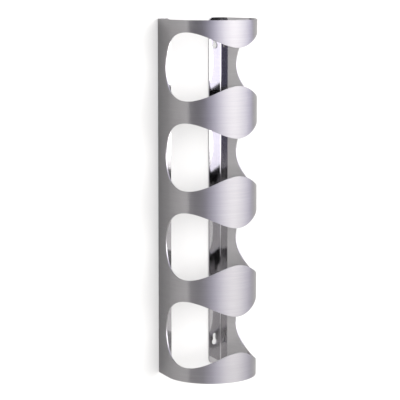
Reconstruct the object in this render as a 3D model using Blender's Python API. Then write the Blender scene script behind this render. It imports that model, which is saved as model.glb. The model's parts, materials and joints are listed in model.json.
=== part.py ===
# A wall-mounted wine rack: one steel sheet, bent into a round-nosed channel that is open at the top
# and the bottom. Four round passages run through it from side to side, and each one breaks out
# through the nose. Its two folded-in flanges lie on the wall and hang on two screws in wall plugs.
#
# Metres, +Z up. Y = 0 is the face of the wall, and the rack stands out from it towards -Y.
# The origin is on the wall's face, midway between the two screws.

import math

import bmesh
import bpy

# The bent sheet. Widths, depths and radii are those of its outer face.
SHEET_THICKNESS = 0.0015
RACK_DEPTH = 0.103
NOSE_RADIUS = 0.058
LEG_LEAN = math.radians(12.5)
FLANGE_WIDTH = 0.0195
FLANGE_CORNER_RADIUS = 0.006
BEND_RADIUS = 0.003

# The bottle passages.
PASSAGE_COUNT = 4
PASSAGE_DIAMETER = 0.084
PASSAGE_PITCH = 0.111
LOWEST_PASSAGE_HEIGHT = 0.060
HEIGHT_ABOVE_PASSAGES = 0.057
PASSAGE_SETBACK = 0.035

# The keyholes, each centred on the flat of its flange.
KEYHOLE_END_DISTANCE = 0.032
KEYHOLE_RISE = 0.009
SLOT_CLEARANCE = 0.0004
HEAD_PASSING_CLEARANCE = 0.0005

# The screws.
SHANK_DIAMETER = 0.004
SHANK_LENGTH = 0.030
POINT_LENGTH = 0.005
HEAD_DIAMETER = 0.007
HEAD_HEIGHT = 0.0026
HEAD_RIM_HEIGHT = 0.0010
HEAD_RUNNING_CLEARANCE = 0.0005
RECESS_SPAN = 0.0042
RECESS_ARM_WIDTH = 0.0010
RECESS_DEPTH = 0.0015
RECESS_TAPER = 0.6

# The wall plugs.
PLUG_WALL = 0.0007
PLUG_LENGTH = 0.030
PLUG_RIB_COUNT = 5
PLUG_RIB_HEIGHT = 0.0004
PLUG_RIB_PITCH = 0.0042
PLUG_COLLAR_LENGTH = 0.006
PLUG_SLIT_WIDTH = 0.0010

# Gaps between pieces that touch.
CONTACT_GAP = 0.0003

# How finely curves are divided.
CORNER_STEPS = 6
BEND_STEPS = 5
NOSE_STEP = math.radians(4)
PASSAGE_STEP = math.radians(7)
HOLE_STEPS = 24
TURNED_STEPS = 28
DOME_STEPS = 5
SMOOTH_ANGLE = math.radians(35)
MERGE_DISTANCE = 1e-6
CUTTER_OVERRUN = 0.002

# Sizes that follow from the ones above.
NOSE_AXIS_DEPTH = RACK_DEPTH - NOSE_RADIUS
TANGENT_DEPTH = NOSE_AXIS_DEPTH - NOSE_RADIUS * math.sin(LEG_LEAN)
HALF_WALL_WIDTH = NOSE_RADIUS / math.cos(LEG_LEAN) - NOSE_AXIS_DEPTH * math.tan(LEG_LEAN)
FREE_EDGE_X = HALF_WALL_WIDTH - FLANGE_WIDTH
BEND_SETBACK = BEND_RADIUS * math.tan((math.pi / 2 - LEG_LEAN) / 2)
FLAT_END_X = HALF_WALL_WIDTH - BEND_SETBACK
BEND_END_DEPTH = BEND_SETBACK * math.cos(LEG_LEAN)

PASSAGE_RADIUS = PASSAGE_DIAMETER / 2
PASSAGE_DEPTH = RACK_DEPTH - PASSAGE_SETBACK
PASSAGE_HEIGHTS = [LOWEST_PASSAGE_HEIGHT + i * PASSAGE_PITCH for i in range(PASSAGE_COUNT)]
RACK_HEIGHT = PASSAGE_HEIGHTS[-1] + HEIGHT_ABOVE_PASSAGES

SLOT_RADIUS = SHANK_DIAMETER / 2 + SLOT_CLEARANCE
ENTRY_RADIUS = HEAD_DIAMETER / 2 + HEAD_PASSING_CLEARANCE
KEYHOLE_LENGTH = ENTRY_RADIUS + KEYHOLE_RISE + SLOT_RADIUS
KEYHOLE_X = (FREE_EDGE_X + FLAT_END_X) / 2
LOWER_ENTRY_HEIGHT = KEYHOLE_END_DISTANCE - KEYHOLE_LENGTH / 2 + ENTRY_RADIUS
UPPER_ENTRY_HEIGHT = RACK_HEIGHT - KEYHOLE_END_DISTANCE - KEYHOLE_LENGTH / 2 + ENTRY_RADIUS

# The slot's round end rests on the screw's shank.
SHANK_IN_SLOT = SLOT_RADIUS - SHANK_DIAMETER / 2 - CONTACT_GAP
SCREW_HEIGHT = UPPER_ENTRY_HEIGHT + KEYHOLE_RISE + SHANK_IN_SLOT
HEAD_SEAT_Y = -SHEET_THICKNESS - HEAD_RUNNING_CLEARANCE
PLUG_BORE_RADIUS = SHANK_DIAMETER / 2 + CONTACT_GAP
PLUG_RADIUS = PLUG_BORE_RADIUS + PLUG_WALL


def clear_scene():
    for obj in list(bpy.data.objects):
        bpy.data.objects.remove(obj, do_unlink=True)


def principled(name, colour, metallic, roughness):
    material = bpy.data.materials.new(name)
    material.use_nodes = True
    shader = material.node_tree.nodes["Principled BSDF"]
    shader.inputs["Base Color"].default_value = (*colour, 1.0)
    shader.inputs["Metallic"].default_value = metallic
    shader.inputs["Roughness"].default_value = roughness
    material.diffuse_color = (*colour, 1.0)
    return material


def empty(name):
    holder = bpy.data.objects.new(name, None)
    bpy.context.scene.collection.objects.link(holder)
    return holder


def object_from(bm, name, parent=None, location=(0, 0, 0)):
    mesh = bpy.data.meshes.new(name)
    bm.to_mesh(mesh)
    bm.free()
    obj = bpy.data.objects.new(name, mesh)
    obj.location = location
    obj.parent = parent
    bpy.context.scene.collection.objects.link(obj)
    return obj


def cut(obj, cutter):
    """Adds a Boolean that takes the cutter's shape out of the object."""
    cutter.hide_render = True
    cutter.display_type = "WIRE"
    boolean = obj.modifiers.new(cutter.name, "BOOLEAN")
    boolean.operation = "DIFFERENCE"
    boolean.solver = "EXACT"
    boolean.object = cutter


def settle(obj, material):
    """Turns the object's modifiers into its mesh, shades it smooth and gives it its material."""
    bpy.context.view_layer.update()
    graph = bpy.context.evaluated_depsgraph_get()
    mesh = bpy.data.meshes.new_from_object(obj.evaluated_get(graph))
    for modifier in list(obj.modifiers):
        if modifier.type == "BOOLEAN":
            bpy.data.objects.remove(modifier.object, do_unlink=True)
    obj.modifiers.clear()
    obj.data = mesh
    mesh.name = obj.name
    mesh.shade_smooth()
    mesh.set_sharp_from_angle(angle=SMOOTH_ANGLE)
    mesh.materials.clear()
    mesh.materials.append(material)


def steps(start, end, count):
    return [start + (end - start) * i / count for i in range(count + 1)]


# Half of the section, from the flange's free edge round to the nose. A station is
# (x, depth from the wall, how far the rounded corner cuts in from the sheet's ends).


def flange_stations():
    stations = []
    for angle in steps(0, math.pi / 2, CORNER_STEPS):
        inset = FLANGE_CORNER_RADIUS * (1 - math.sin(angle))
        x = FREE_EDGE_X + FLANGE_CORNER_RADIUS * (1 - math.cos(angle))
        stations.append((x, 0.0, inset))
    return stations


def bend_stations():
    stations = []
    for angle in steps(0, math.pi / 2 - LEG_LEAN, BEND_STEPS):
        x = FLAT_END_X + BEND_RADIUS * math.sin(angle)
        depth = BEND_RADIUS * (1 - math.cos(angle))
        stations.append((x, depth, 0.0))
    return stations


def leg_stations():
    """Stations close together where the passages start, so that their outlines stay round."""
    tip = PASSAGE_DEPTH - PASSAGE_RADIUS
    depths = []
    for i in range(math.ceil(math.pi / 2 / PASSAGE_STEP)):
        depth = tip + PASSAGE_RADIUS * (1 - math.cos(i * PASSAGE_STEP))
        if BEND_END_DEPTH < depth < TANGENT_DEPTH:
            depths.append(depth)
    return [(HALF_WALL_WIDTH + depth * math.tan(LEG_LEAN), depth, 0.0) for depth in depths]


def nose_stations():
    count = math.ceil((math.pi / 2 + LEG_LEAN) / NOSE_STEP)
    stations = []
    for angle in steps(-LEG_LEAN, math.pi / 2, count):
        x = NOSE_RADIUS * math.cos(angle)
        depth = NOSE_AXIS_DEPTH + NOSE_RADIUS * math.sin(angle)
        stations.append((x, depth, 0.0))
    return stations


def section_stations():
    half = flange_stations() + bend_stations() + leg_stations() + nose_stations()
    return [(-x, depth, inset) for x, depth, inset in half] + half[-2::-1]


def passage_half_height(depth):
    """Half the height of a passage's outline at this depth, or 0 where the sheet isn't cut."""
    return math.sqrt(max(0.0, PASSAGE_RADIUS**2 - (depth - PASSAGE_DEPTH) ** 2))


def band_limits(depth, inset):
    """The lowest and highest point of each band of sheet, between one passage and the next."""
    half = passage_half_height(depth)
    lows = [inset] + [height + half for height in PASSAGE_HEIGHTS]
    highs = [height - half for height in PASSAGE_HEIGHTS] + [RACK_HEIGHT - inset]
    return list(zip(lows, highs))


def sheet_face():
    """The sheet's outer face. Bands that meet are merged where no passage parts them."""
    bm = bmesh.new()
    before = None
    for x, depth, inset in section_stations():
        here = [
            (bm.verts.new((x, -depth, low)), bm.verts.new((x, -depth, high)))
            for low, high in band_limits(depth, inset)
        ]
        if before:
            for (old_low, old_high), (low, high) in zip(before, here):
                bm.faces.new((old_low, low, high, old_high))
        before = here
    bmesh.ops.remove_doubles(bm, verts=bm.verts, dist=MERGE_DISTANCE)
    return bm


def arc_points(centre_z, radius, start, end, count):
    return [(radius * math.cos(a), centre_z + radius * math.sin(a)) for a in steps(start, end, count)]


def prism(outline, y_start, y_end, end_scale=1.0):
    """A closed prism along Y, with its outline in X and Z and its far end scaled."""
    bm = bmesh.new()
    near = bm.faces.new([bm.verts.new((x, y_start, z)) for x, z in outline])
    far = bmesh.ops.extrude_face_region(bm, geom=[near])["geom"]
    moved = [item for item in far if isinstance(item, bmesh.types.BMVert)]
    bmesh.ops.translate(bm, verts=moved, vec=(0, y_end - y_start, 0))
    bmesh.ops.scale(bm, verts=moved, vec=(end_scale, 1, end_scale))
    bmesh.ops.recalc_face_normals(bm, faces=bm.faces)
    return bm


def keyhole_cutter(name, parent, x, entry_height):
    """A round entry with a narrow slot above it, right through a flange."""
    mouth = math.acos(SLOT_RADIUS / ENTRY_RADIUS)
    entry = arc_points(0, ENTRY_RADIUS, math.pi - mouth, 2 * math.pi + mouth, HOLE_STEPS)
    slot_end = arc_points(KEYHOLE_RISE, SLOT_RADIUS, 0, math.pi, HOLE_STEPS // 2)
    bm = prism(entry + slot_end, CUTTER_OVERRUN, -SHEET_THICKNESS - CUTTER_OVERRUN)
    return object_from(bm, name, parent, (x, 0, entry_height))


def make_rack_body(parent, material):
    body = object_from(sheet_face(), "rack_body", parent, (0, 0, -SCREW_HEIGHT))
    solidify = body.modifiers.new("sheet", "SOLIDIFY")
    solidify.thickness = SHEET_THICKNESS
    solidify.offset = -1
    solidify.use_even_offset = True
    for side, x in (("left", -KEYHOLE_X), ("right", KEYHOLE_X)):
        for level, height in (("lower", LOWER_ENTRY_HEIGHT), ("upper", UPPER_ENTRY_HEIGHT)):
            cut(body, keyhole_cutter(f"keyhole_{level}_{side}", body, x, height))
    settle(body, material)


def turned(profile):
    """The solid that (radius, y) points make when they turn about Y."""
    bm = bmesh.new()
    ring = [bm.verts.new((radius, y, 0)) for radius, y in profile]
    edges = [bm.edges.new(pair) for pair in zip(ring, ring[1:])]
    bmesh.ops.spin(
        bm,
        geom=ring + edges,
        axis=(0, 1, 0),
        cent=(0, 0, 0),
        angle=2 * math.pi,
        steps=TURNED_STEPS,
        use_merge=True,
    )
    bmesh.ops.remove_doubles(bm, verts=bm.verts, dist=MERGE_DISTANCE)
    bmesh.ops.recalc_face_normals(bm, faces=bm.faces)
    return bm


def screw_profile():
    """From the middle of the domed head, over its rim and along the shank to the point."""
    top = HEAD_SEAT_Y - HEAD_HEIGHT
    rim = HEAD_SEAT_Y - HEAD_RIM_HEIGHT
    head_radius = HEAD_DIAMETER / 2
    dome = [
        (head_radius * math.sin(a), rim + (top - rim) * math.cos(a))
        for a in steps(0, math.pi / 2, DOME_STEPS)
    ]
    shank_radius = SHANK_DIAMETER / 2
    shank_end = HEAD_SEAT_Y + SHANK_LENGTH
    return dome + [
        (head_radius, HEAD_SEAT_Y),
        (shank_radius, HEAD_SEAT_Y),
        (shank_radius, shank_end - POINT_LENGTH),
        (0, shank_end),
    ]


def recess_cutter(name, parent):
    """A cross that narrows towards its bottom."""
    arm = RECESS_ARM_WIDTH / 2
    reach = RECESS_SPAN / 2
    quarter = [(reach, -arm), (reach, arm), (arm, arm)]
    outline = []
    for _ in range(4):
        outline += quarter
        quarter = [(-z, x) for x, z in quarter]
    top = HEAD_SEAT_Y - HEAD_HEIGHT
    bm = prism(outline, top - CUTTER_OVERRUN, top + RECESS_DEPTH, RECESS_TAPER)
    return object_from(bm, name, parent)


def make_screw(side, x, parent, material):
    screw = object_from(turned(screw_profile()), f"wall_screw_{side}", parent, (x, 0, 0))
    cut(screw, recess_cutter(f"recess_{side}", screw))
    settle(screw, material)


def plug_profile():
    """A closed ring outline: along the ribbed outside, then back through the bore."""
    near = CONTACT_GAP
    far = near + PLUG_LENGTH
    radius = PLUG_RADIUS
    outline = [(radius, near), (radius, near + PLUG_COLLAR_LENGTH)]
    for i in range(PLUG_RIB_COUNT):
        start = near + PLUG_COLLAR_LENGTH + i * PLUG_RIB_PITCH
        outline += [(radius + PLUG_RIB_HEIGHT, start), (radius, start + PLUG_RIB_PITCH)]
    outline += [(radius, far), (PLUG_BORE_RADIUS, far), (PLUG_BORE_RADIUS, near)]
    return outline + outline[:1]


def slit_cutter(name, parent):
    """A thin slab that splits the plug into two prongs behind its collar."""
    half = PLUG_SLIT_WIDTH / 2
    reach = 2 * PLUG_RADIUS
    outline = [(-half, -reach), (half, -reach), (half, reach), (-half, reach)]
    start = CONTACT_GAP + PLUG_COLLAR_LENGTH
    return object_from(prism(outline, start, CONTACT_GAP + PLUG_LENGTH + CUTTER_OVERRUN), name, parent)


def make_plug(side, x, parent, material):
    plug = object_from(turned(plug_profile()), f"wall_plug_{side}", parent, (x, 0, 0))
    cut(plug, slit_cutter(f"slit_{side}", plug))
    settle(plug, material)


def main():
    clear_scene()
    brushed_steel = principled("brushed_steel", (0.62, 0.61, 0.62), 1.0, 0.35)
    zinc_plated = principled("zinc_plated", (0.66, 0.66, 0.64), 1.0, 0.30)
    grey_nylon = principled("grey_nylon", (0.42, 0.43, 0.44), 0.0, 0.55)
    rack = empty("rack")
    fixings = empty("wall_fixings")
    make_rack_body(rack, brushed_steel)
    for side, x in (("left", -KEYHOLE_X), ("right", KEYHOLE_X)):
        make_screw(side, x, fixings, zinc_plated)
        make_plug(side, x, fixings, grey_nylon)


main()
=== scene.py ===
# The looks of a wall-mounted wine rack: a folded sheet of brushed steel with four bottle passages,
# hung by its keyholes on two screws. Metres, +Z up, the wall at Y = 0, the rack towards -Y.
import json
import math

import bpy
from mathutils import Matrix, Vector


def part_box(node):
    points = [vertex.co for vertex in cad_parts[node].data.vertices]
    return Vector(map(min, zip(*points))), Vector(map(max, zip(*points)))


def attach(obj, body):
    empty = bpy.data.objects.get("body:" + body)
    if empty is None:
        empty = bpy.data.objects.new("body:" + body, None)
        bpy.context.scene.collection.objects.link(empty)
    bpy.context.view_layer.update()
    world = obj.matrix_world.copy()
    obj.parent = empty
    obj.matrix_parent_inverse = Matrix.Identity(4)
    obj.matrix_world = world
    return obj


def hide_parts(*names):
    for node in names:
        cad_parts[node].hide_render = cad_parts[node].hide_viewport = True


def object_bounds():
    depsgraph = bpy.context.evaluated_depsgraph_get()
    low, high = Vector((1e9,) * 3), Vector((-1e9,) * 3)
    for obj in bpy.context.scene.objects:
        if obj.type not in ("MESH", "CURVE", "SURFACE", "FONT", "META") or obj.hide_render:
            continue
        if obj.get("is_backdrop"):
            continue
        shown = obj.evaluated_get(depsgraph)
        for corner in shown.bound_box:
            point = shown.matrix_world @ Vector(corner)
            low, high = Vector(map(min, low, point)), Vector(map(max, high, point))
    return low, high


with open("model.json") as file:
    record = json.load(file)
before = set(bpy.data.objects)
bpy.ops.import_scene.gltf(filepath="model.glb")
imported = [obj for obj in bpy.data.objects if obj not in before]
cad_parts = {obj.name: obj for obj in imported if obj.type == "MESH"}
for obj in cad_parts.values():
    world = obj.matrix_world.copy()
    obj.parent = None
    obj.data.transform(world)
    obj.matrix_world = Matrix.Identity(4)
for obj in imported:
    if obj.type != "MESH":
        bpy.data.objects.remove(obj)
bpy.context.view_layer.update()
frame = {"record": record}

openings = {opening["name"]: opening["box_m"] for opening in frame["record"]["physics"]["openings"]}


# one helper adds a node and fills its inputs, the other a math node
def nodeMaker(tree):
    def add(kind, inputs=None, **settings):
        node = tree.nodes.new(kind)
        for name, value in settings.items():
            setattr(node, name, value)
        for key, value in (inputs or {}).items():
            if isinstance(value, bpy.types.NodeSocket):
                tree.links.new(value, node.inputs[key])
            else:
                node.inputs[key].default_value = value
        return node

    def calc(operation, *values):
        return add("ShaderNodeMath", dict(enumerate(values)), operation=operation).outputs[0]

    return add, calc


def startTree(name, sizes):
    tree = bpy.data.node_groups.new(name, "GeometryNodeTree")
    tree.interface.new_socket("Geometry", in_out="OUTPUT", socket_type="NodeSocketGeometry")
    for label, value in sizes.items():
        kind = "NodeSocketInt" if isinstance(value, int) else "NodeSocketFloat"
        tree.interface.new_socket(label, in_out="INPUT", socket_type=kind)
    return tree


# runs a tree on an empty mesh and keeps its result as a plain mesh at the origin
def grow(name, tree, sizes, finish=None):
    obj = bpy.data.objects.new(name, bpy.data.meshes.new(name))
    bpy.context.scene.collection.objects.link(obj)
    modifier = obj.modifiers.new("shape", "NODES")
    modifier.node_group = tree
    for item in tree.interface.items_tree:
        if item.in_out == "INPUT":
            modifier[item.identifier] = sizes[item.name]
    if finish:
        finish(obj)
    graph = bpy.context.evaluated_depsgraph_get()
    mesh = bpy.data.meshes.new_from_object(obj.evaluated_get(graph))
    obj.modifiers.clear()
    obj.data = mesh
    mesh.name = name
    mesh.shade_smooth()
    mesh.set_sharp_from_angle(angle=smoothAngle)
    print(name, "has", len(mesh.polygons), "faces")
    return obj


# the commonest steps of a tree
def moved(add, geometry, shift=(0.0, 0.0, 0.0), turn=(0.0, 0.0, 0.0)):
    inputs = {"Geometry": geometry, "Translation": shift, "Rotation": turn}
    return add("GeometryNodeTransform", inputs).outputs[0]


def shaped(add, geometry, position):
    return add("GeometryNodeSetPosition", {"Geometry": geometry, "Position": position}).outputs[0]


def merged(add, geometry):
    return add("GeometryNodeMergeByDistance", {"Geometry": geometry, "Distance": closeEnough}).outputs[0]


def choose(add, condition, otherwise, value):
    return add("GeometryNodeSwitch", {0: condition, 1: otherwise, 2: value}, input_type="FLOAT").outputs[0]


def vectorMaker(add):
    def vector(x, y, z=0.0):
        return add("ShaderNodeCombineXYZ", {0: x, 1: y, 2: z}).outputs[0]

    return vector


# one value out of a list, by a whole number
def pick(tree, add, kind, index, values):
    switch = add("GeometryNodeIndexSwitch", data_type=kind)
    while len(switch.index_switch_items) < len(values):
        switch.index_switch_items.new()
    tree.links.new(index, switch.inputs[0])
    for i, value in enumerate(values):
        if isinstance(value, bpy.types.NodeSocket):
            tree.links.new(value, switch.inputs[i + 1])
        else:
            switch.inputs[i + 1].default_value = value
    return switch.outputs[0]


def join(tree, add, parts):
    joined = add("GeometryNodeJoinGeometry")
    for part in parts:
        tree.links.new(part, joined.inputs[0])
    return joined.outputs[0]


def cutAway(tree, add, solid, cutter):
    cut = add(
        "GeometryNodeMeshBoolean",
        {"Mesh 1": solid, "Self Intersection": True},
        operation="DIFFERENCE",
        solver="EXACT",
    )
    tree.links.new(cutter, cut.inputs["Mesh 2"])
    return cut.outputs[0]


smoothAngle = math.radians(18)
closeEnough = 1e-5

# the folded sheet of the rack
rackLow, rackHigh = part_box("rack_body")
passageBoxes = [box for name, box in openings.items() if name.endswith("_passage")]
passageBoxes.sort(key=lambda box: box[0][2])
passageLow, passageHigh = passageBoxes[0]
passageLevels = [(low[2] + high[2]) / 2 - rackLow.z for low, high in passageBoxes]
lowerEntry = openings["lower_right_keyhole_entry"]
screwLow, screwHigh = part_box("wall_screw_right")

rackSheet = {
    "Height": rackHigh.z - rackLow.z,
    "Bottom": rackLow.z,
    "Depth": -rackLow.y,
    "Nose Radius": (rackHigh.x - rackLow.x) / 2,
    "Thickness": 0.0015,
    "Leg Lean": math.radians(12.5),
    "Flange Width": 0.0195,
    "Bend Radius": 0.003,
    "Corner Radius": 0.006,
    "Passage Diameter": 0.084,
    "Passage Depth": -(passageLow[1] + passageHigh[1]) / 2,
    "Lowest Passage": passageLevels[0],
    "Passage Pitch": passageLevels[1] - passageLevels[0],
    "Passages": len(passageLevels),
    "Keyhole X": (screwLow.x + screwHigh.x) / 2,
    "Keyhole Z": (lowerEntry[0][2] + lowerEntry[1][2]) / 2,
    "Keyhole Rise": 0.009,
    "Entry Diameter": 0.008,
    "Slot Width": 0.0048,
    "Nose Steps": 90,
    "Leg Steps": 116,
}
edgeRow = 0.012        # share of a band's height that its first and last rows take
noseRamp = 4.0         # columns that grow from a passage's tip towards the middle of the nose
legRamp = 2.0          # columns that grow from a flange's free edge
bendSteps = 400        # points on each rounded corner of the section
entrySides = 64
slotSides = 48
cutterReach = 0.01     # length of the keyholes' cutters, through the sheet
softEdge = {"radius": 0.00012, "segments": 2, "fromAngle": math.radians(40)}


# distance at a step: growing steps up to the ramp, then equal ones, and the total at the last
def eased(calc, step, count, total, ramp):
    slow = calc("MINIMUM", step, ramp)
    even = calc("MULTIPLY", calc("SUBTRACT", step, slow), 2.0 * ramp)
    share = calc("ADD", calc("MULTIPLY", slow, slow), even)
    whole = calc("ADD", calc("MULTIPLY", calc("SUBTRACT", count, ramp), 2.0 * ramp), ramp * ramp)
    return calc("MULTIPLY", calc("DIVIDE", share, whole), total)


def sheetTree(steel, innerSteelPaintedLight, cutEdge):
    tree = startTree("foldedSheet", rackSheet)
    add, calc = nodeMaker(tree)
    vector = vectorMaker(add)
    size = add("NodeGroupInput").outputs
    index = add("GeometryNodeInputIndex").outputs[0]

    def byIndex(kind, values):
        return pick(tree, add, kind, index, values)

    # the section: a trapezoid with its front and wall corners rounded
    lean = size["Leg Lean"]
    radius = size["Nose Radius"]
    noseAxis = calc("SUBTRACT", size["Depth"], radius)
    wallX = calc(
        "SUBTRACT",
        calc("DIVIDE", radius, calc("COSINE", lean)),
        calc("MULTIPLY", noseAxis, calc("TANGENT", lean)),
    )
    noseTurn = calc("ADD", lean, math.pi / 2)
    frontX = calc("MULTIPLY", radius, calc("TANGENT", calc("DIVIDE", noseTurn, 2.0)))
    freeX = calc("SUBTRACT", wallX, size["Flange Width"])
    frontY = calc("MULTIPLY", size["Depth"], -1.0)
    right = [vector(frontX, frontY), vector(wallX, 0.0), vector(freeX, 0.0)]
    mirrored = [calc("MULTIPLY", x, -1.0) for x in (freeX, wallX, frontX)]
    left = [vector(mirrored[0], 0.0), vector(mirrored[1], 0.0), vector(mirrored[2], frontY)]
    line = add("GeometryNodeCurvePrimitiveLine")
    corners = add("GeometryNodeResampleCurve", {"Curve": line.outputs[0], "Count": len(left + right)})
    outline = shaped(add, corners.outputs[0], byIndex("VECTOR", left + right))
    bend = size["Bend Radius"]
    rounding = byIndex("FLOAT", [0.0, bend, radius, radius, bend, 0.0])
    fillet = {"Curve": outline, "Count": bendSteps, "Radius": rounding}
    section = add("GeometryNodeFilletCurve", fillet, mode="POLY").outputs[0]
    halfLength = calc("DIVIDE", add("GeometryNodeCurveLength", {0: section}).outputs[0], 2.0)

    # where the passages start on the legs, as a length from the middle of the nose
    passageRadius = calc("DIVIDE", size["Passage Diameter"], 2.0)
    tangentDepth = calc("SUBTRACT", noseAxis, calc("MULTIPLY", radius, calc("SINE", lean)))
    tipDepth = calc("SUBTRACT", size["Passage Depth"], passageRadius)
    onLeg = calc("DIVIDE", calc("SUBTRACT", tangentDepth, tipDepth), calc("COSINE", lean))
    tipLength = calc("ADD", calc("MULTIPLY", radius, noseTurn), onLeg)

    # one grid for each band of sheet, its columns numbered from the middle of the nose
    halfSteps = calc("ADD", size["Nose Steps"], size["Leg Steps"])
    across = calc("MULTIPLY", halfSteps, 2.0)
    rowShares = [0.0, edgeRow, 0.5, 1.0 - edgeRow, 1.0]
    grid = add(
        "GeometryNodeMeshGrid",
        {
            "Size X": across,
            "Size Y": float(len(rowShares) - 1),
            "Vertices X": calc("ADD", across, 1.0),
            "Vertices Y": len(rowShares),
        },
    )
    bandPoints = add("GeometryNodeMeshLine", {"Count": calc("ADD", size["Passages"], 1.0)}).outputs[0]
    bands = add("GeometryNodeInstanceOnPoints", {"Points": bandPoints, "Instance": grid.outputs[0]})
    numbered = add(
        "GeometryNodeStoreNamedAttribute",
        {"Geometry": bands.outputs[0], "Name": "band", "Value": index},
        data_type="FLOAT",
        domain="INSTANCE",
    )
    apart = add("GeometryNodeRealizeInstances", {0: numbered.outputs[0]})
    flat = add("ShaderNodeSeparateXYZ", {0: add("GeometryNodeInputPosition").outputs[0]}).outputs
    column = calc("ABSOLUTE", flat[0])
    legColumn = calc("SUBTRACT", column, size["Nose Steps"])
    noseStep = calc("SUBTRACT", size["Nose Steps"], column)
    fromTip = eased(calc, noseStep, size["Nose Steps"], tipLength, noseRamp)
    legLength = calc("SUBTRACT", halfLength, tipLength)
    legStep = calc("SUBTRACT", size["Leg Steps"], legColumn)
    fromEdge = eased(calc, legStep, size["Leg Steps"], legLength, legRamp)
    isLeg = calc("GREATER_THAN", legColumn, 0.5)
    isNose = calc("LESS_THAN", legColumn, -0.5)
    alongNose = calc("SUBTRACT", tipLength, fromTip)
    alongLeg = calc("SUBTRACT", halfLength, fromEdge)
    along = choose(add, isLeg, alongNose, alongLeg)
    length = calc("MULTIPLY_ADD", calc("SIGN", flat[0]), along, halfLength)
    onSection = {"Curves": section, "Length": length}
    sample = add("GeometryNodeSampleCurve", onSection, mode="LENGTH", use_all_curves=False)
    point = add("ShaderNodeSeparateXYZ", {0: sample.outputs["Position"]}).outputs

    # how high a circle stands at a distance from its axis
    def circleHeight(distance, circle):
        squared = calc("SUBTRACT", calc("MULTIPLY", circle, circle), calc("MULTIPLY", distance, distance))
        return calc("SQRT", calc("MAXIMUM", squared, 0.0))

    # each band runs from one passage to the next, the end bands to the sheet's ends
    fromAxis = calc("ADD", point[1], size["Passage Depth"])
    half = calc("MULTIPLY", circleHeight(fromAxis, passageRadius), isNose)
    corner = size["Corner Radius"]
    intoCorner = calc("MAXIMUM", calc("SUBTRACT", corner, calc("SUBTRACT", halfLength, along)), 0.0)
    inset = calc("SUBTRACT", corner, circleHeight(intoCorner, corner))
    band = add("GeometryNodeInputNamedAttribute", {"Name": "band"}, data_type="FLOAT").outputs[0]
    passageAbove = calc("MULTIPLY_ADD", band, size["Passage Pitch"], size["Lowest Passage"])
    passageBelow = calc("SUBTRACT", passageAbove, size["Passage Pitch"])
    isFirst = calc("LESS_THAN", band, 0.5)
    isLast = calc("GREATER_THAN", band, calc("SUBTRACT", size["Passages"], 0.5))
    low = choose(add, isFirst, calc("ADD", passageBelow, half), inset)
    topEnd = calc("SUBTRACT", size["Height"], inset)
    high = choose(add, isLast, calc("SUBTRACT", passageAbove, half), topEnd)
    row = calc("ROUND", calc("ADD", flat[1], (len(rowShares) - 1) / 2))
    share = pick(tree, add, "FLOAT", row, rowShares)
    rise = calc("MULTIPLY", calc("SUBTRACT", high, low), share)
    height = calc("ADD", low, rise)
    z = calc("ADD", height, size["Bottom"])

    mapped = add(
        "GeometryNodeStoreNamedAttribute",
        {"Geometry": apart.outputs[0], "Name": "sheetMap", "Value": vector(length, z)},
        data_type="FLOAT2",
        domain="CORNER",
    )
    folded = merged(add, shaped(add, mapped.outputs[0], vector(point[0], point[1], z)))
    outer = add("GeometryNodeSetMaterial", {"Geometry": folded, "Material": steel}).outputs[0]

    # the thickness goes inwards
    turned = add("GeometryNodeFlipFaces", {"Mesh": outer})
    grown = add(
        "GeometryNodeExtrudeMesh",
        {"Mesh": turned.outputs[0], "Offset Scale": size["Thickness"], "Individual": False},
        mode="FACES",
    )
    # the inner faces take a lighter copy of the same steel: painted light for the key light they catch
    # through the passages
    lined = add(
        "GeometryNodeSetMaterial",
        {"Geometry": grown.outputs["Mesh"], "Selection": grown.outputs["Top"], "Material": innerSteelPaintedLight},
    )
    edged = add(
        "GeometryNodeSetMaterial",
        {"Geometry": lined.outputs[0], "Selection": grown.outputs["Side"], "Material": cutEdge},
    )
    solid = merged(add, join(tree, add, [edged.outputs[0], outer]))

    # a keyhole at each end of each flange: a round entry with a slot above it
    def bore(diameter, sides, rise):
        sizes = {"Vertices": sides, "Radius": calc("DIVIDE", diameter, 2.0), "Depth": cutterReach}
        cylinder = add("GeometryNodeMeshCylinder", sizes).outputs[0]
        return moved(add, cylinder, vector(0.0, 0.0, rise), (math.pi / 2, 0.0, 0.0))

    keyholeRise = size["Keyhole Rise"]
    entry = bore(size["Entry Diameter"], entrySides, 0.0)
    slotEnd = bore(size["Slot Width"], slotSides, keyholeRise)
    slot = add("GeometryNodeMeshCube", {"Size": vector(size["Slot Width"], cutterReach, keyholeRise)})
    placedSlot = moved(add, slot.outputs[0], vector(0.0, 0.0, calc("DIVIDE", keyholeRise, 2.0)))
    keyhole = join(tree, add, [entry, slotEnd, placedSlot])
    keyholesApart = calc("MULTIPLY", size["Keyhole X"], 2.0)
    fourCorners = add(
        "GeometryNodeMeshGrid",
        {"Size X": keyholesApart, "Size Y": 1.0, "Vertices X": 2, "Vertices Y": 2},
    )
    lowest = size["Keyhole Z"]
    bothRounds = calc("DIVIDE", calc("ADD", size["Entry Diameter"], size["Slot Width"]), 2.0)
    keyholeLength = calc("ADD", bothRounds, keyholeRise)
    endDistance = calc("SUBTRACT", lowest, size["Bottom"])
    highest = calc(
        "ADD",
        calc("SUBTRACT", calc("ADD", size["Bottom"], size["Height"]), endDistance),
        calc("SUBTRACT", size["Entry Diameter"], keyholeLength),
    )
    upShare = calc("ADD", flat[1], 0.5)
    cornerHeight = calc("ADD", lowest, calc("MULTIPLY", calc("SUBTRACT", highest, lowest), upShare))
    spread = shaped(add, fourCorners.outputs[0], vector(flat[0], 0.0, cornerHeight))
    keyholes = add("GeometryNodeInstanceOnPoints", {"Points": spread, "Instance": keyhole})
    cutters = add("GeometryNodeRealizeInstances", {0: keyholes.outputs[0]})
    cutterEdge = add("GeometryNodeSetMaterial", {"Geometry": cutters.outputs[0], "Material": cutEdge})
    pierced = cutAway(tree, add, solid, cutterEdge.outputs[0])
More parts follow.
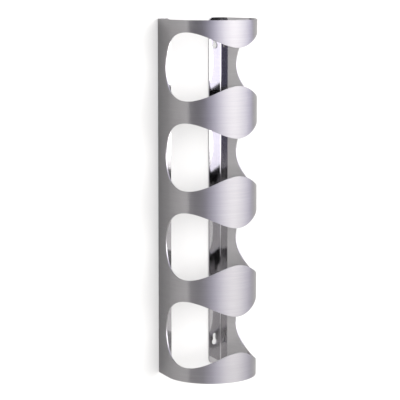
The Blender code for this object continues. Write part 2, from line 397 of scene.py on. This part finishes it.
    whole = add("GeometryNodeRealizeInstances", {0: pierced})
    add("NodeGroupOutput", {0: whole.outputs[0]})
    return tree


def newMaterial(name):
    material = bpy.data.materials.new(name)
    material.use_nodes = True
    add, calc = nodeMaker(material.node_tree)
    return material, material.node_tree.nodes["Principled BSDF"], add, calc


def noise(add, place, size, detail):
    return add("ShaderNodeTexNoise", {"Vector": place, "Scale": 1 / size, "Detail": detail}).outputs[0]


def blend(add, factor, first, second):
    ends = {"Factor": factor, 6: (*first, 1.0), 7: (*second, 1.0)}
    return add("ShaderNodeMix", ends, data_type="RGBA").outputs[2]


# stretches the middle of a noise to the whole of 0 to 1
def stretched(add, value, ends):
    return add("ShaderNodeMapRange", {0: value, 1: ends[0], 2: ends[1], 3: 0.0, 4: 1.0}).outputs[0]


def bumpFrom(add, height, look):
    relief = {"Height": height, "Strength": look["bump"], "Distance": look["bumpDepth"]}
    return add("ShaderNodeBump", relief).outputs[0]


# steel brushed level, along the sheet
def brushedSteel(name, look):
    material, shader, add, calc = newMaterial(name)
    tree = material.node_tree
    place = add("ShaderNodeTexCoord").outputs["Object"]
    along = look["streakLength"]

    def streaks(width, detail):
        stretch = (1 / along, 1 / along, 1 / width)
        scaled = add("ShaderNodeMapping", {"Vector": place, "Scale": stretch}).outputs[0]
        grit = {"Vector": scaled, "Scale": 1.0, "Detail": detail, "Roughness": look["grit"]}
        return add("ShaderNodeTexNoise", grit).outputs[0]

    fine = streaks(look["fineWidth"], 3.0)
    coarse = streaks(look["coarseWidth"], 2.0)
    cloudy = noise(add, place, look["cloudSize"], 3.0)
    fineShare = look["fineShare"]
    mixed = calc("ADD", calc("MULTIPLY", fine, fineShare), calc("MULTIPLY", coarse, 1.0 - fineShare))
    tone = stretched(add, mixed, look["toneEnds"])
    tree.links.new(blend(add, tone, look["dark"], look["light"]), shader.inputs["Base Color"])
    streaky = calc("MULTIPLY", coarse, look["roughSpread"])
    clouded = calc("MULTIPLY", cloudy, look["cloudSpread"])
    smoothest = look["roughness"] - look["roughSpread"] / 2 - look["cloudSpread"] / 2
    roughness = calc("ADD", calc("ADD", streaky, clouded), smoothest)
    tree.links.new(roughness, shader.inputs["Roughness"])
    shader.inputs["Metallic"].default_value = 1.0
    shader.inputs["Anisotropic"].default_value = look["anisotropy"]
    shader.inputs["Anisotropic Rotation"].default_value = 0.25    # the gloss spreads up and down
    tangent = add("ShaderNodeTangent", direction_type="UV_MAP", uv_map="sheetMap").outputs[0]
    tree.links.new(tangent, shader.inputs["Tangent"])
    tree.links.new(bumpFrom(add, mixed, look), shader.inputs["Normal"])
    return material


def cutEdgeSteel(look):
    material, shader, add, calc = newMaterial("cutEdge")
    tree = material.node_tree
    place = add("ShaderNodeTexCoord").outputs["Object"]
    grain = noise(add, place, look["grain"], 2.0)
    tree.links.new(blend(add, grain, look["dark"], look["light"]), shader.inputs["Base Color"])
    shader.inputs["Metallic"].default_value = 1.0
    smoothest = look["roughness"] - look["roughSpread"] / 2
    roughness = calc("MULTIPLY_ADD", grain, look["roughSpread"], smoothest)
    tree.links.new(roughness, shader.inputs["Roughness"])
    return material


steelLook = {
    "dark": (0.302, 0.295, 0.305),
    "light": (0.354, 0.347, 0.355),
    "streakLength": 0.060,
    "fineWidth": 0.0005,
    "coarseWidth": 0.0022,
    "fineShare": 0.55,
    "grit": 0.6,
    "toneEnds": (0.3, 0.7),
    "cloudSize": 0.05,
    "roughness": 0.38,
    "roughSpread": 0.08,
    "cloudSpread": 0.05,
    "anisotropy": 0.8,
    "bump": 0.18,
    "bumpDepth": 0.0001,
}
# the inner faces: the same brushed steel painted lighter, as painted light standing in for the light they
# catch through the passages
innerPaintedLightLook = {
    "dark": (0.50, 0.492, 0.503),
    "light": (0.56, 0.552, 0.563),
    "streakLength": 0.040,
    "fineWidth": 0.0006,
    "coarseWidth": 0.0030,
    "fineShare": 0.55,
    "grit": 0.6,
    "toneEnds": (0.3, 0.7),
    "cloudSize": 0.04,
    "roughness": 0.08,
    "roughSpread": 0.05,
    "cloudSpread": 0.04,
    "anisotropy": 0.2,
    "bump": 0.03,
    "bumpDepth": 0.0001,
}
edgeLook = {
    "dark": (0.36, 0.355, 0.36),
    "light": (0.52, 0.51, 0.52),
    "grain": 0.0006,
    "roughness": 0.34,
    "roughSpread": 0.2,
}


def finishSheet(obj):
    bevel = obj.modifiers.new("softEdges", "BEVEL")
    bevel.width = softEdge["radius"]
    bevel.segments = softEdge["segments"]
    bevel.limit_method = "ANGLE"
    bevel.angle_limit = softEdge["fromAngle"]
    bevel.use_clamp_overlap = False
    bevel.loop_slide = False


steel = brushedSteel("brushedSteel", steelLook)
innerSteelPaintedLight = brushedSteel("innerSteelPaintedLight", innerPaintedLightLook)
cutEdge = cutEdgeSteel(edgeLook)
rackBody = grow("rackSheet", sheetTree(steel, innerSteelPaintedLight, cutEdge), rackSheet, finishSheet)
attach(rackBody, "rack")
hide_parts("rack_body")


# the two wall screws, turned about their own axis, with a rolled thread and a cross recess
wallScrews = {
    "Apart": screwHigh.x + screwLow.x,
    "Top": screwLow.y,
    "End": screwHigh.y,
    "Head Diameter": screwHigh.x - screwLow.x,
    "Head Height": 0.0026,
    "Rim Height": 0.0010,
    "Neck Diameter": 0.0036,
    "Neck Length": 0.0065,
    "Core Diameter": 0.0028,
    "Thread Diameter": 0.0039,
    "Thread Pitch": 0.0016,
    "Point Length": 0.0050,
    "Recess Span": 0.0042,
    "Recess Arm": 0.0010,
    "Recess Depth": 0.0015,
    "Sides": 40,
}
domeSteps = 7
unitSquare = math.sqrt(0.5)    # radius of a four-sided cone whose square is one across
recessFloor = 0.2              # width at the bottom of the cross recess, as a share of its mouth
threadRoot = 0.0001            # how far the thread's ridge is sunk in the core
threadStart = 0.05             # share of the ridge that its very ends keep
spiralSteps = 32


# a closed shell from (radius, height) points that turn about Z, the first and last on the axis
def turnedShell(tree, add, calc, points, sides):
    vector = vectorMaker(add)
    count = len(points)
    columns = calc("ADD", sides, 1.0)
    grid = add(
        "GeometryNodeMeshGrid",
        {"Size X": 1.0, "Size Y": float(count - 1), "Vertices X": columns, "Vertices Y": count},
    )
    flat = add("ShaderNodeSeparateXYZ", {0: add("GeometryNodeInputPosition").outputs[0]}).outputs
    row = calc("ROUND", calc("ADD", flat[1], (count - 1) / 2))
    chosen = pick(tree, add, "VECTOR", row, [vector(radius, height) for radius, height in points])
    profile = add("ShaderNodeSeparateXYZ", {0: chosen}).outputs
    turn = calc("MULTIPLY", flat[0], 2 * math.pi)
    across = calc("MULTIPLY", profile[0], calc("COSINE", turn))
    up = calc("MULTIPLY", profile[0], calc("SINE", turn))
    return merged(add, shaped(add, grid.outputs[0], vector(across, up, profile[1])))


# copies of a piece made along Z, laid along Y at both screw places
def atBothScrews(add, calc, piece, apart, material):
    vector = vectorMaker(add)
    start = vector(calc("MULTIPLY", apart, -0.5), 0.0)
    offset = vector(apart, 0.0)
    places = add("GeometryNodeMeshLine", {"Count": 2, "Start Location": start, "Offset": offset})
    intoWall = (-math.pi / 2, 0.0, 0.0)
    copies = add(
        "GeometryNodeInstanceOnPoints",
        {"Points": places.outputs[0], "Instance": piece, "Rotation": intoWall},
    )
    real = add("GeometryNodeRealizeInstances", {0: copies.outputs[0]})
    finished = add("GeometryNodeSetMaterial", {"Geometry": real.outputs[0], "Material": material})
    add("NodeGroupOutput", {0: finished.outputs[0]})


def screwTree(material):
    tree = startTree("wallScrews", wallScrews)
    add, calc = nodeMaker(tree)
    vector = vectorMaker(add)
    size = add("NodeGroupInput").outputs
    top, end = size["Top"], size["End"]
    headRadius = calc("DIVIDE", size["Head Diameter"], 2.0)
    neckRadius = calc("DIVIDE", size["Neck Diameter"], 2.0)
    coreRadius = calc("DIVIDE", size["Core Diameter"], 2.0)
    crestRadius = calc("DIVIDE", size["Thread Diameter"], 2.0)
    seat = calc("ADD", top, size["Head Height"])
    rim = calc("SUBTRACT", seat, size["Rim Height"])
    domeHeight = calc("SUBTRACT", rim, top)
    points = []
    for i in range(domeSteps + 1):
        slope = math.pi / 2 * i / domeSteps
        height = calc("SUBTRACT", rim, calc("MULTIPLY", domeHeight, math.cos(slope)))
        points.append((calc("MULTIPLY", headRadius, math.sin(slope)), height))
    neckEnd = calc("ADD", seat, size["Neck Length"])
    coreStart = calc("ADD", neckEnd, calc("SUBTRACT", neckRadius, coreRadius))
    pointStart = calc("SUBTRACT", end, size["Point Length"])
    points += [(headRadius, seat), (neckRadius, seat), (neckRadius, neckEnd)]
    points += [(coreRadius, coreStart), (coreRadius, pointStart), (0.0, end)]
    blank = turnedShell(tree, add, calc, points, size["Sides"])

    # the cross recess: two wedges that cross and narrow towards the bottom
    wedge = add(
        "GeometryNodeMeshCone",
        {
            "Vertices": 4,
            "Radius Top": unitSquare * recessFloor,
            "Radius Bottom": unitSquare * (2.0 - recessFloor),
            "Depth": calc("MULTIPLY", size["Recess Depth"], 2.0),
        },
    )
    squared = moved(add, wedge.outputs[0], turn=(0.0, 0.0, math.pi / 4))
    slab = add(
        "GeometryNodeTransform",
        {
            "Geometry": squared,
            "Scale": vector(size["Recess Span"], size["Recess Arm"], 1.0),
            "Translation": vector(0.0, 0.0, top),
        },
    ).outputs[0]
    crossed = moved(add, slab, turn=(0.0, 0.0, math.pi / 2))
    pierced = cutAway(tree, add, blank, join(tree, add, [slab, crossed]))

    # the thread: a four-sided ridge along a spiral, fading out at its ends
    threadLength = calc("SUBTRACT", pointStart, coreStart)
    turns = calc("DIVIDE", threadLength, size["Thread Pitch"])
    spiralRadius = calc("SUBTRACT", coreRadius, threadRoot)
    spiral = add(
        "GeometryNodeCurveSpiral",
        {
            "Resolution": spiralSteps,
            "Rotations": turns,
            "Start Radius": spiralRadius,
            "End Radius": spiralRadius,
            "Height": threadLength,
        },
    )
    upright = add("GeometryNodeSetCurveNormal", {"Curve": spiral.outputs[0]}, mode="Z_UP")
    along = add("GeometryNodeSplineParameter").outputs["Factor"]
    fromEnds = calc("MINIMUM", along, calc("SUBTRACT", 1.0, along))
    fade = calc("MINIMUM", calc("MULTIPLY_ADD", fromEnds, turns, threadStart), 1.0)
    tapered = add("GeometryNodeSetCurveRadius", {"Curve": upright.outputs[0], "Radius": fade})
    ridge = add(
        "GeometryNodeCurvePrimitiveCircle",
        {"Resolution": 4, "Radius": calc("SUBTRACT", crestRadius, spiralRadius)},
    )
    swept = add(
        "GeometryNodeCurveToMesh",
        {"Curve": tapered.outputs[0], "Profile Curve": ridge.outputs[0], "Fill Caps": True},
    )
    thread = moved(add, swept.outputs[0], vector(0.0, 0.0, coreStart))
    whole = join(tree, add, [pierced, thread])
    atBothScrews(add, calc, whole, size["Apart"], material)
    return tree


# bright zinc plate, a little cloudy
def zincPlate(look):
    material, shader, add, calc = newMaterial("zincPlate")
    tree = material.node_tree
    place = add("ShaderNodeTexCoord").outputs["Object"]
    cloud = noise(add, place, look["cloudSize"], 3.0)
    grain = noise(add, place, look["grain"], 2.0)
    tone = stretched(add, cloud, look["toneEnds"])
    tree.links.new(blend(add, tone, look["cool"], look["warm"]), shader.inputs["Base Color"])
    roughness = calc("MULTIPLY_ADD", grain, look["roughSpread"], look["roughness"])
    tree.links.new(roughness, shader.inputs["Roughness"])
    shader.inputs["Metallic"].default_value = 1.0
    tree.links.new(bumpFrom(add, grain, look), shader.inputs["Normal"])
    return material


zincLook = {
    "cool": (0.50, 0.52, 0.55),
    "warm": (0.62, 0.60, 0.54),
    "toneEnds": (0.35, 0.65),
    "cloudSize": 0.004,
    "grain": 0.0003,
    "roughness": 0.22,
    "roughSpread": 0.16,
    "bump": 0.3,
    "bumpDepth": 0.00005,
}
screws = grow("wallScrews", screwTree(zincPlate(zincLook)), wallScrews)
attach(screws, "wall_fixings")
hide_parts("wall_screw_left", "wall_screw_right")

# the two wall plugs: a ribbed tube with a collar, split behind it
plugLow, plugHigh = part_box("wall_plug_right")
wallPlugs = {
    "Apart": plugHigh.x + plugLow.x,
    "Start": plugLow.y,
    "Length": plugHigh.y - plugLow.y,
    "Rib Diameter": plugHigh.x - plugLow.x,
    "Rib Height": 0.0004,
    "Rib Pitch": 0.0042,
    "Ribs": 5,
    "Collar Length": 0.0060,
    "Bore Diameter": 0.0046,
    "Slit Width": 0.0010,
    "Sides": 48,
}
mouthShare = 3.0     # the tube's wall is divided by this for the flat round its mouth
boreOverrun = 1.2    # the bore's cutter over the plug's length
slitOverrun = 1.5    # the slit's cutter over the ribs' diameter


def plugTree(material):
    tree = startTree("wallPlugs", wallPlugs)
    add, calc = nodeMaker(tree)
    vector = vectorMaker(add)
    size = add("NodeGroupInput").outputs
    start, length = size["Start"], size["Length"]
    ribRadius = calc("DIVIDE", size["Rib Diameter"], 2.0)
    tubeRadius = calc("SUBTRACT", ribRadius, size["Rib Height"])
    boreRadius = calc("DIVIDE", size["Bore Diameter"], 2.0)
    end = calc("ADD", start, length)
    mouth = calc("ADD", boreRadius, calc("DIVIDE", calc("SUBTRACT", tubeRadius, boreRadius), mouthShare))
    easing = calc("SUBTRACT", tubeRadius, mouth)
    points = [(0.0, start), (mouth, start), (tubeRadius, calc("ADD", start, easing))]
    points += [(tubeRadius, calc("SUBTRACT", end, easing)), (mouth, end), (0.0, end)]
    tube = turnedShell(tree, add, calc, points, size["Sides"])

    # each rib is a short cone that leans back towards the collar
    firstRib = calc("ADD", start, size["Collar Length"])
    pitch = size["Rib Pitch"]
    rib = add(
        "GeometryNodeMeshCone",
        {"Vertices": size["Sides"], "Radius Bottom": ribRadius, "Radius Top": tubeRadius, "Depth": pitch},
    )
    ribPlace, ribOffset = vector(0.0, 0.0, firstRib), vector(0.0, 0.0, pitch)
    ribLine = add(
        "GeometryNodeMeshLine",
        {"Count": size["Ribs"], "Start Location": ribPlace, "Offset": ribOffset},
    )
    ribs = add("GeometryNodeInstanceOnPoints", {"Points": ribLine.outputs[0], "Instance": rib.outputs[0]})
    realRibs = add("GeometryNodeRealizeInstances", {0: ribs.outputs[0]})
    ribbed = join(tree, add, [tube, realRibs.outputs[0]])

    # the bore, and the slit through the length behind the collar
    middle = calc("ADD", start, calc("DIVIDE", length, 2.0))
    depth = calc("MULTIPLY", length, boreOverrun)
    boreSizes = {"Vertices": size["Sides"], "Radius": boreRadius, "Depth": depth}
    bore = add("GeometryNodeMeshCylinder", boreSizes)
    placedBore = moved(add, bore.outputs[0], vector(0.0, 0.0, middle))
    wide = calc("MULTIPLY", size["Rib Diameter"], slitOverrun)
    slit = add("GeometryNodeMeshCube", {"Size": vector(size["Slit Width"], wide, length)})
    slitMiddle = calc("ADD", firstRib, calc("DIVIDE", length, 2.0))
    placedSlit = moved(add, slit.outputs[0], vector(0.0, 0.0, slitMiddle))
    hollow = cutAway(tree, add, ribbed, join(tree, add, [placedBore, placedSlit]))
    atBothScrews(add, calc, hollow, size["Apart"], material)
    return tree


# moulded nylon: a fine matt grain, slightly clouded
def mouldedNylon(look):
    material, shader, add, calc = newMaterial("mouldedNylon")
    tree = material.node_tree
    place = add("ShaderNodeTexCoord").outputs["Object"]
    cloud = noise(add, place, look["cloudSize"], 2.0)
    grain = noise(add, place, look["grain"], 3.0)
    tree.links.new(blend(add, cloud, look["dark"], look["light"]), shader.inputs["Base Color"])
    roughness = calc("MULTIPLY_ADD", grain, look["roughSpread"], look["roughness"])
    tree.links.new(roughness, shader.inputs["Roughness"])
    shader.inputs["Subsurface Weight"].default_value = look["glow"]
    shader.inputs["Subsurface Scale"].default_value = look["glowDepth"]
    tree.links.new(bumpFrom(add, grain, look), shader.inputs["Normal"])
    return material


nylonLook = {
    "dark": (0.15, 0.155, 0.165),
    "light": (0.21, 0.215, 0.225),
    "cloudSize": 0.006,
    "grain": 0.00025,
    "roughness": 0.42,
    "roughSpread": 0.18,
    "bump": 0.25,
    "bumpDepth": 0.00005,
    "glow": 0.08,
    "glowDepth": 0.001,
}
plugs = grow("wallPlugs", plugTree(mouldedNylon(nylonLook)), wallPlugs)
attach(plugs, "wall_fixings")
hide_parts("wall_plug_left", "wall_plug_right")

# the wall, the floor and the light
room = {
    "wallGap": 0.0008,         # behind the flanges
    "wallHalf": 6.0,
    "floor": -0.95,
    "paint": (0.48, 0.48, 0.475),
    "paintRoughness": 0.9,
    "paintGloss": 0.1,
    "wallGlow": 0.31,          # added for the camera alone
    "unseenWithin": 0.003,     # rays shorter than this go through the wall
    "floorPaint": (0.60, 0.595, 0.59),
    "floorRoughness": 0.8,
    "keyAzimuth": math.radians(26),    # to the right of straight out from the wall
    "keyFalloff": 1.7,
    "dim": 0.23,               # light from the side away from the key
    "bright": 5.0,             # light from the key itself
    "backdrop": 1.0,           # what the camera sees past the wall
    "dimTint": (0.72, 0.69, 1.0),
    "brightTint": (1.0, 0.985, 0.985),
}


def panel(name, corners, material):
    mesh = bpy.data.meshes.new(name)
    mesh.from_pydata([tuple(c) for c in corners], [], [tuple(range(len(corners)))])
    mesh.materials.append(material)
    obj = bpy.data.objects.new(name, mesh)
    bpy.context.scene.collection.objects.link(obj)
    obj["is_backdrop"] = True
    return obj


# pale paint that is seen from the room's side only, and not by the screws that go into it
def wallPaint():
    material, shader, add, calc = newMaterial("wallPaint")
    tree = material.node_tree
    ray = add("ShaderNodeLightPath").outputs
    shader.inputs["Base Color"].default_value = (*room["paint"], 1.0)
    shader.inputs["Roughness"].default_value = room["paintRoughness"]
    shader.inputs["Specular IOR Level"].default_value = room["paintGloss"]
    shader.inputs["Emission Color"].default_value = (1.0, 1.0, 1.0, 1.0)
    glow = calc("MULTIPLY", ray["Is Camera Ray"], room["wallGlow"])
    tree.links.new(glow, shader.inputs["Emission Strength"])
    clear = add("ShaderNodeBsdfTransparent").outputs[0]
    behind = add("ShaderNodeNewGeometry").outputs["Backfacing"]
    near = calc("LESS_THAN", ray["Ray Length"], room["unseenWithin"])
    hidden = calc("MAXIMUM", behind, near)
    mix = add("ShaderNodeMixShader", {0: hidden, 1: shader.outputs[0], 2: clear}).outputs[0]
    tree.links.new(mix, tree.nodes["Material Output"].inputs[0])
    return material


def floorPaint():
    material, shader, add, calc = newMaterial("floorPaint")
    shader.inputs["Base Color"].default_value = (*room["floorPaint"], 1.0)
    shader.inputs["Roughness"].default_value = room["floorRoughness"]
    return material


# soft light all round, brightest from the right and dim on the left
def lightRoom():
    world = bpy.data.worlds.new("studio")
    world.use_nodes = True
    bpy.context.scene.world = world
    add, calc = nodeMaker(world.node_tree)
    direction = add("ShaderNodeTexCoord").outputs["Generated"]
    azimuth = room["keyAzimuth"]
    key = (math.sin(azimuth), -math.cos(azimuth), 0.0)
    facing = add("ShaderNodeVectorMath", {0: direction, 1: key}, operation="DOT_PRODUCT").outputs["Value"]
    share = calc("POWER", calc("MAXIMUM", facing, 0.0), room["keyFalloff"])
    amount = calc("MULTIPLY_ADD", share, room["bright"] - room["dim"], room["dim"])
    ray = add("ShaderNodeLightPath").outputs
    seen = ray["Is Camera Ray"]
    plain = calc("MAXIMUM", share, calc("SUBTRACT", 1.0, ray["Is Glossy Ray"]))
    tint = blend(add, plain, room["dimTint"], room["brightTint"])
    levels = {0: seen, 2: amount, 3: room["backdrop"]}
    strength = add("ShaderNodeMix", levels, data_type="FLOAT").outputs[0]
    background = world.node_tree.nodes["Background"]
    world.node_tree.links.new(tint, background.inputs["Color"])
    world.node_tree.links.new(strength, background.inputs["Strength"])


half, gap, low = room["wallHalf"], room["wallGap"], room["floor"]
square = [(-half, -half), (half, -half), (half, half), (-half, half)]
panel("wall", [(x, gap, max(z, low)) for x, z in square], wallPaint())
panel("floor", [(x, y, low) for x, y in square], floorPaint())
lightRoom()


# a lamp that washes the wall from the left; the steel doesn't mirror it
wallWash = {
    "place": Vector((-1.1, -0.55, -0.15)),
    "aim": Vector((-0.25, 0.0, -0.2)),
    "width": 0.5,
    "height": 1.0,
    "power": 10.0,
}


def hangWallWash():
    data = bpy.data.lights.new("wallWash", "AREA")
    data.shape = "RECTANGLE"
    data.size = wallWash["width"]
    data.size_y = wallWash["height"]
    data.energy = wallWash["power"]
    lamp = bpy.data.objects.new("wallWash", data)
    bpy.context.scene.collection.objects.link(lamp)
    lamp.location = wallWash["place"]
    lamp.rotation_euler = (wallWash["aim"] - wallWash["place"]).to_track_quat("-Z", "Y").to_euler()
    lamp.visible_glossy = False
    lamp.visible_camera = False


hangWallWash()
print("room lit")

# the camera
view = {
    "place": Vector((-1.2675, -1.7857, 0.0968)),
    "heading": math.radians(35.71),
    "pitch": math.radians(7.86),
    "lens": 155.4,
    "sensor": 36.0,
    "near": 0.05,
    "far": 50.0,
}


def placeCamera():
    data = bpy.data.cameras.new("camera")
    camera = bpy.data.objects.new("camera", data)
    bpy.context.scene.collection.objects.link(camera)
    camera.location = view["place"]
    camera.rotation_euler = (math.pi / 2 - view["pitch"], 0.0, -view["heading"])
    data.lens = view["lens"]
    data.sensor_width = view["sensor"]
    data.clip_start = view["near"]
    data.clip_end = view["far"]
    bpy.context.scene.camera = camera


placeCamera()
bpy.context.scene.view_settings.view_transform = "Standard"
print("camera placed")

low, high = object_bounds()
